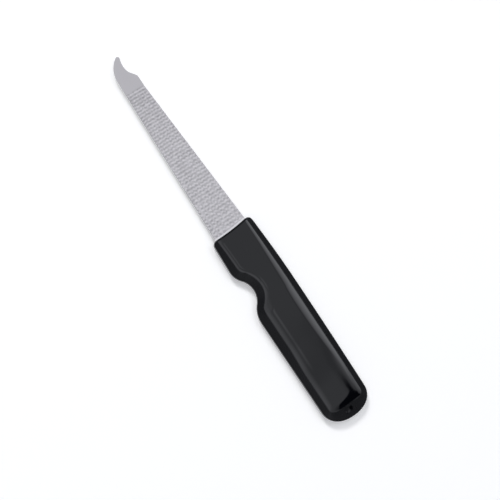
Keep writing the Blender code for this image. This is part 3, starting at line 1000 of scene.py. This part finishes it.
# %% [markdown]
# ## The floor and the backdrop
# The file lies on plain white board. The board is a matt white that the studio lights to
# nearly white, and for what the camera, a mirror or a clear piece sees it gets a little light
# of its own, so that the empty board is paper white while the file's soft shadow stays.

# %% White board
floor_half = 3.0
floor_gap = 0.02 * mm
board_white = "#F2F2F2"
board_glow = 0.265


def white_board():
    """Matt white that glows a little for the camera, for mirrors and through clear pieces."""
    material, tree, shader = new_material("matt_white_board")
    tree.nodes.remove(shader)
    path = add_node(tree, "LightPath").outputs
    seen = path["Is Camera Ray"]
    for ray in ("Is Glossy Ray", "Is Transmission Ray"):
        seen = add_node(tree, "Math", {0: seen, 1: path[ray]}, operation="MAXIMUM").outputs[0]
    glow = add_node(tree, "Math", {0: seen, 1: board_glow}, operation="MULTIPLY")
    matt = add_node(tree, "BsdfDiffuse", {"Color": linear(board_white)})
    light = add_node(tree, "Emission", {"Strength": glow.outputs[0]})
    both = add_node(tree, "AddShader", {0: matt.outputs[0], 1: light.outputs[0]})
    tree.links.new(both.outputs[0], tree.nodes["Material Output"].inputs["Surface"])
    return material


floor_z = cad_box[0].z - floor_gap
signs = ((-1, -1), (1, -1), (1, 1), (-1, 1))
corners = [(x * floor_half, y * floor_half, floor_z) for x, y in signs]
board = add_object("white_board", corners, [[0, 1, 2, 3]])
board.data.materials.append(white_board())
print("board:", 2 * floor_half, "m wide, top at", round(floor_z / mm, 2), "mm")

# %% [markdown]
# ## The studio
# A glossy black handle is lit by what it mirrors, so the studio is drawn as a map of
# directions. One angle, the tilt away from straight up towards the back or the notch side,
# decides almost everything: a dim overhead lamp for the flat crown, a brighter strip to the
# back for the highlight band, a weaker one on the notch side, and darkness further out for
# the flanks. It is one colour ramp on the world. Two more angles, towards the tip and towards
# the butt, say where along the file something begins and ends.

# %% The lamps by their tilt
# The lamps are a little bluish, as daylight is. This is linear light, not a paint colour.
daylight = (0.97, 0.99, 1.045, 1)
# Tilt in degrees, from the notch side (-90) over straight up (0) to the back (90), and radiance.
tilt_reach = 90
tilt_lights = (
    (-31, 0.2),
    (-26, 1.2),
    (-17, 1.4),
    (-12, 1.15),
    (-6.5, 0.78),
    (-3, 0.76),
    (14, 0.76),
    (16, 0.62),
    (17.4, 0.55),
    (18.6, 0.72),
    (20, 1.2),
    (25, 1.85),
    (30, 2.35),
    (37, 3.0),
    (47, 0.2),
)
ramp_peak = max(radiance for tilt, radiance in tilt_lights)
print("stops on the ramp:", len(tilt_lights), "up to a radiance of", ramp_peak)

# %% [markdown]
# No lamp is perfectly even, and the polished crown shows it. Along the overhead lamp runs a
# thin brighter line. Towards the tip the lamp is a little brighter on the notch side, and
# over a short way towards the butt it sags and looks dimmer. There the back strip gets dimmer
# too, and a black card hangs in the corner between the two. Each of these areas is bounded by
# soft edges, so one table can hold them all.

# %% Areas with soft edges
# Each edge names what it is measured by, where it leaves 0 and where it reaches 1. These are
# angles in degrees, and for the backdrop the height of the direction.
overhead_line = (("tilt", -5.0, 1.0), ("tilt", 7.0, 1.0), ("to_butt", -1.5, -0.4), ("to_butt", 4.6, 2.6))
fore_patch = (("tilt", -14, -9), ("tilt", 3, -3), ("to_tip", 1.0, 4.0))
sagging_part = (("to_butt", 2.6, 4.2), ("to_butt", 6.0, 5.3), ("tilt", 18, 15))
strip_end = (("to_butt", 6.5, 7.1), ("tilt", 18.1, 20.1))
lamp_field = (("to_tip", -36, -20), ("to_tip", 32, 22))
card_ends = (("to_butt", 6.0, 6.7), ("to_butt", 37.0, 33.0))
black_card = (("past_card_side", -0.5, 0.5), ("tilt", 18.6, 17.6), *card_ends)
above_backdrop = (("height", 0.13, 0.19),)
# The card's inner side is aslant: two places towards the butt, and its tilt at each of them.
card_side = (6.85, 30.6, 16.1, 8.5)
# Radiance that an area adds, and the share of light that it takes.
brighter_areas = ((overhead_line, 0.52), (fore_patch, 0.22))
dimmer_areas = ((sagging_part, 0.17), (strip_end, 0.35))
# Radiance beyond the lamps' ends, and of the backdrop.
dark_radiance = 0.2
backdrop_radiance = 1.0


def studio_angles(tree):
    """What the edges are measured by, as sockets of the direction that is looked in."""
    direction = add_node(tree, "TexCoord").outputs["Generated"]
    parts = add_node(tree, "SeparateXYZ", {0: direction}).outputs
    angles = {"height": parts["Z"]}
    for name, axis, sign in (("tilt", "Y", -1), ("to_tip", "X", 1), ("to_butt", "X", -1)):
        sideways = add_node(tree, "Math", {0: parts[axis], 1: sign}, operation="MULTIPLY").outputs[0]
        turned = add_node(tree, "Math", {0: sideways, 1: parts["Z"]}, operation="ARCTAN2").outputs[0]
        angles[name] = add_node(tree, "Math", {0: turned}, operation="DEGREES").outputs[0]
    limits = dict(zip(("From Min", "From Max", "To Min", "To Max"), card_side))
    side = add_node(tree, "MapRange", {"Value": angles["to_butt"], **limits}).outputs["Result"]
    past_side = add_node(tree, "Math", {0: angles["tilt"], 1: side}, operation="SUBTRACT")
    angles["past_card_side"] = past_side.outputs[0]
    return angles


def soft_area(tree, angles, edges):
    """1 inside all the soft edges of an area and 0 outside them."""
    area = 1.0
    for angle, outside, inside in edges:
        limits = {"Value": angles[angle], "From Min": outside, "From Max": inside}
        edge = add_node(tree, "MapRange", limits, interpolation_type="SMOOTHSTEP").outputs["Result"]
        area = add_node(tree, "Math", {0: edge, 1: area}, operation="MULTIPLY").outputs[0]
    return area


def shaded(tree, light, area, share):
    """The light with a share of it taken away inside an area."""
    kept = add_node(tree, "Math", {0: area, 1: -share, 2: 1.0}, operation="MULTIPLY_ADD").outputs[0]
    return add_node(tree, "Math", {0: light, 1: kept}, operation="MULTIPLY").outputs[0]


print("areas that change the lamps:", len(brighter_areas) + len(dimmer_areas))

# %% [markdown]
# The world then puts all this together: the ramp, what is added to it and taken from it, the
# dark ends of the lamps, and the card over everything. Near the horizon the lamps give way to
# the pale backdrop.


# %% Painting the world
def lamp_light(tree, angles):
    """Radiance of the lamps by their tilt, with their brighter and dimmer areas."""
    spread = {"Value": angles["tilt"], "From Min": -tilt_reach, "From Max": tilt_reach}
    place = add_node(tree, "MapRange", spread)
    ramp = add_node(tree, "ValToRGB", {"Fac": place.outputs["Result"]})
    # New stops start in the middle and are then put in their places.
    elements = ramp.color_ramp.elements
    while len(elements) < len(tilt_lights):
        elements.new(0.5)
    for element, (tilt, radiance) in zip(elements, tilt_lights):
        element.position = tilt / (2 * tilt_reach) + 0.5
        element.color = (*[radiance / ramp_peak] * 3, 1)
    level = add_node(tree, "SeparateXYZ", {0: ramp.outputs["Color"]}).outputs["X"]
    light = add_node(tree, "Math", {0: level, 1: ramp_peak}, operation="MULTIPLY").outputs[0]
    for edges, radiance in brighter_areas:
        area = soft_area(tree, angles, edges)
        lit = add_node(tree, "Math", {0: area, 1: radiance, 2: light}, operation="MULTIPLY_ADD")
        light = lit.outputs[0]
    for edges, share in dimmer_areas:
        light = shaded(tree, light, soft_area(tree, angles, edges), share)
    return light


def paint_studio():
    """The world: a sky whose strength is the studio map and whose colour is the lamps'."""
    world = bpy.data.worlds.new("studio")
    bpy.context.scene.world = world
    world.use_nodes = True
    tree = world.node_tree
    angles = studio_angles(tree)
    hung = {"Factor": soft_area(tree, angles, lamp_field), 2: dark_radiance, 3: lamp_light(tree, angles)}
    lamps = add_node(tree, "Mix", hung, data_type="FLOAT").outputs[0]
    # The card takes all the light behind it.
    lamps = shaded(tree, lamps, soft_area(tree, angles, black_card), 1.0)
    over = {"Factor": soft_area(tree, angles, above_backdrop), 2: backdrop_radiance, 3: lamps}
    sky = add_node(tree, "Mix", over, data_type="FLOAT")
    background = tree.nodes["Background"]
    tree.links.new(sky.outputs[0], background.inputs["Strength"])
    background.inputs["Color"].default_value = daylight
    return world


studio = paint_studio()
print("studio:", len(studio.node_tree.nodes), "nodes")

# %% [markdown]
# ## The key lamp
# The map lights the board evenly. A square soft lamp, beyond the tip and a little to the back,
# gives the file its shadow and the steel its brightness. It stands for direct light on the
# board and the steel only: a mirror doesn't see it, so no polished edge shows a second lamp.

# %% Key lamp
key_tilt, key_turn, key_distance = math.radians(47), math.radians(80), 2.4
key_size, key_radiance = 0.6, 24.5


def add_lamp(name, place, size, radiance):
    """A square soft lamp that points at the file. Its power follows from how bright it looks."""
    lamp = bpy.data.lights.new(name, "AREA")
    lamp.size = size
    lamp.energy = radiance * math.pi * size**2
    made = bpy.data.objects.new(name, lamp)
    made.location = place
    made.rotation_euler = (-Vector(place)).to_track_quat("-Z", "Y").to_euler()
    bpy.context.scene.collection.objects.link(made)
    return made


key_place = Vector((math.sin(key_turn), -math.cos(key_turn), 0)) * math.sin(key_tilt) * key_distance
key_place.z = math.cos(key_tilt) * key_distance
key_lamp = add_lamp("key_lamp", key_place, key_size, key_radiance)
key_lamp.visible_glossy = False
print("key lamp at", [round(v, 2) for v in key_lamp.location])

# %% [markdown]
# ## The camera
# The photograph looks almost straight down through a long lens, tilted ten degrees towards
# the notch side, with the file lying aslant in the frame. The lens and the distance are set
# so that one pixel of the 500-pixel picture covers 0.407 mm, and the camera then slides
# sideways until the file's middle falls on its place in the frame.

# %% The camera
frame_pixels = 500
pixel_size = 0.407 * mm
middle_pixel = Vector((234.8, 236.6))
view_tilt = math.radians(10)
file_turn = math.radians(56.1)
lens, sensor = 120, 36
clip_start = 10 * mm


def add_camera():
    """Looks down at the file, with the file's middle at its place in the picture."""
    camera = bpy.data.cameras.new("camera")
    camera.lens, camera.sensor_width, camera.clip_start = lens, sensor, clip_start
    made = bpy.data.objects.new("camera", camera)
    along, across = Vector((1, 0, 0)), Vector((0, math.cos(view_tilt), -math.sin(view_tilt)))
    right = along * -math.cos(file_turn) + across * -math.sin(file_turn)
    up = along * math.sin(file_turn) + across * -math.cos(file_turn)
    back = right.cross(up)
    offset = middle_pixel - Vector((frame_pixels, frame_pixels)) / 2
    target = (cad_box[0] + cad_box[1]) / 2 - (right * offset.x - up * offset.y) * pixel_size
    distance = frame_pixels * pixel_size * lens / sensor
    turn = Matrix((right, up, back)).transposed().to_4x4()
    made.matrix_world = Matrix.Translation(target + back * distance) @ turn
    bpy.context.scene.collection.objects.link(made)
    bpy.context.scene.camera = made
    return made


camera = add_camera()
bpy.context.scene.view_settings.view_transform = "Standard"
print("camera at", [round(v, 3) for v in camera.location])
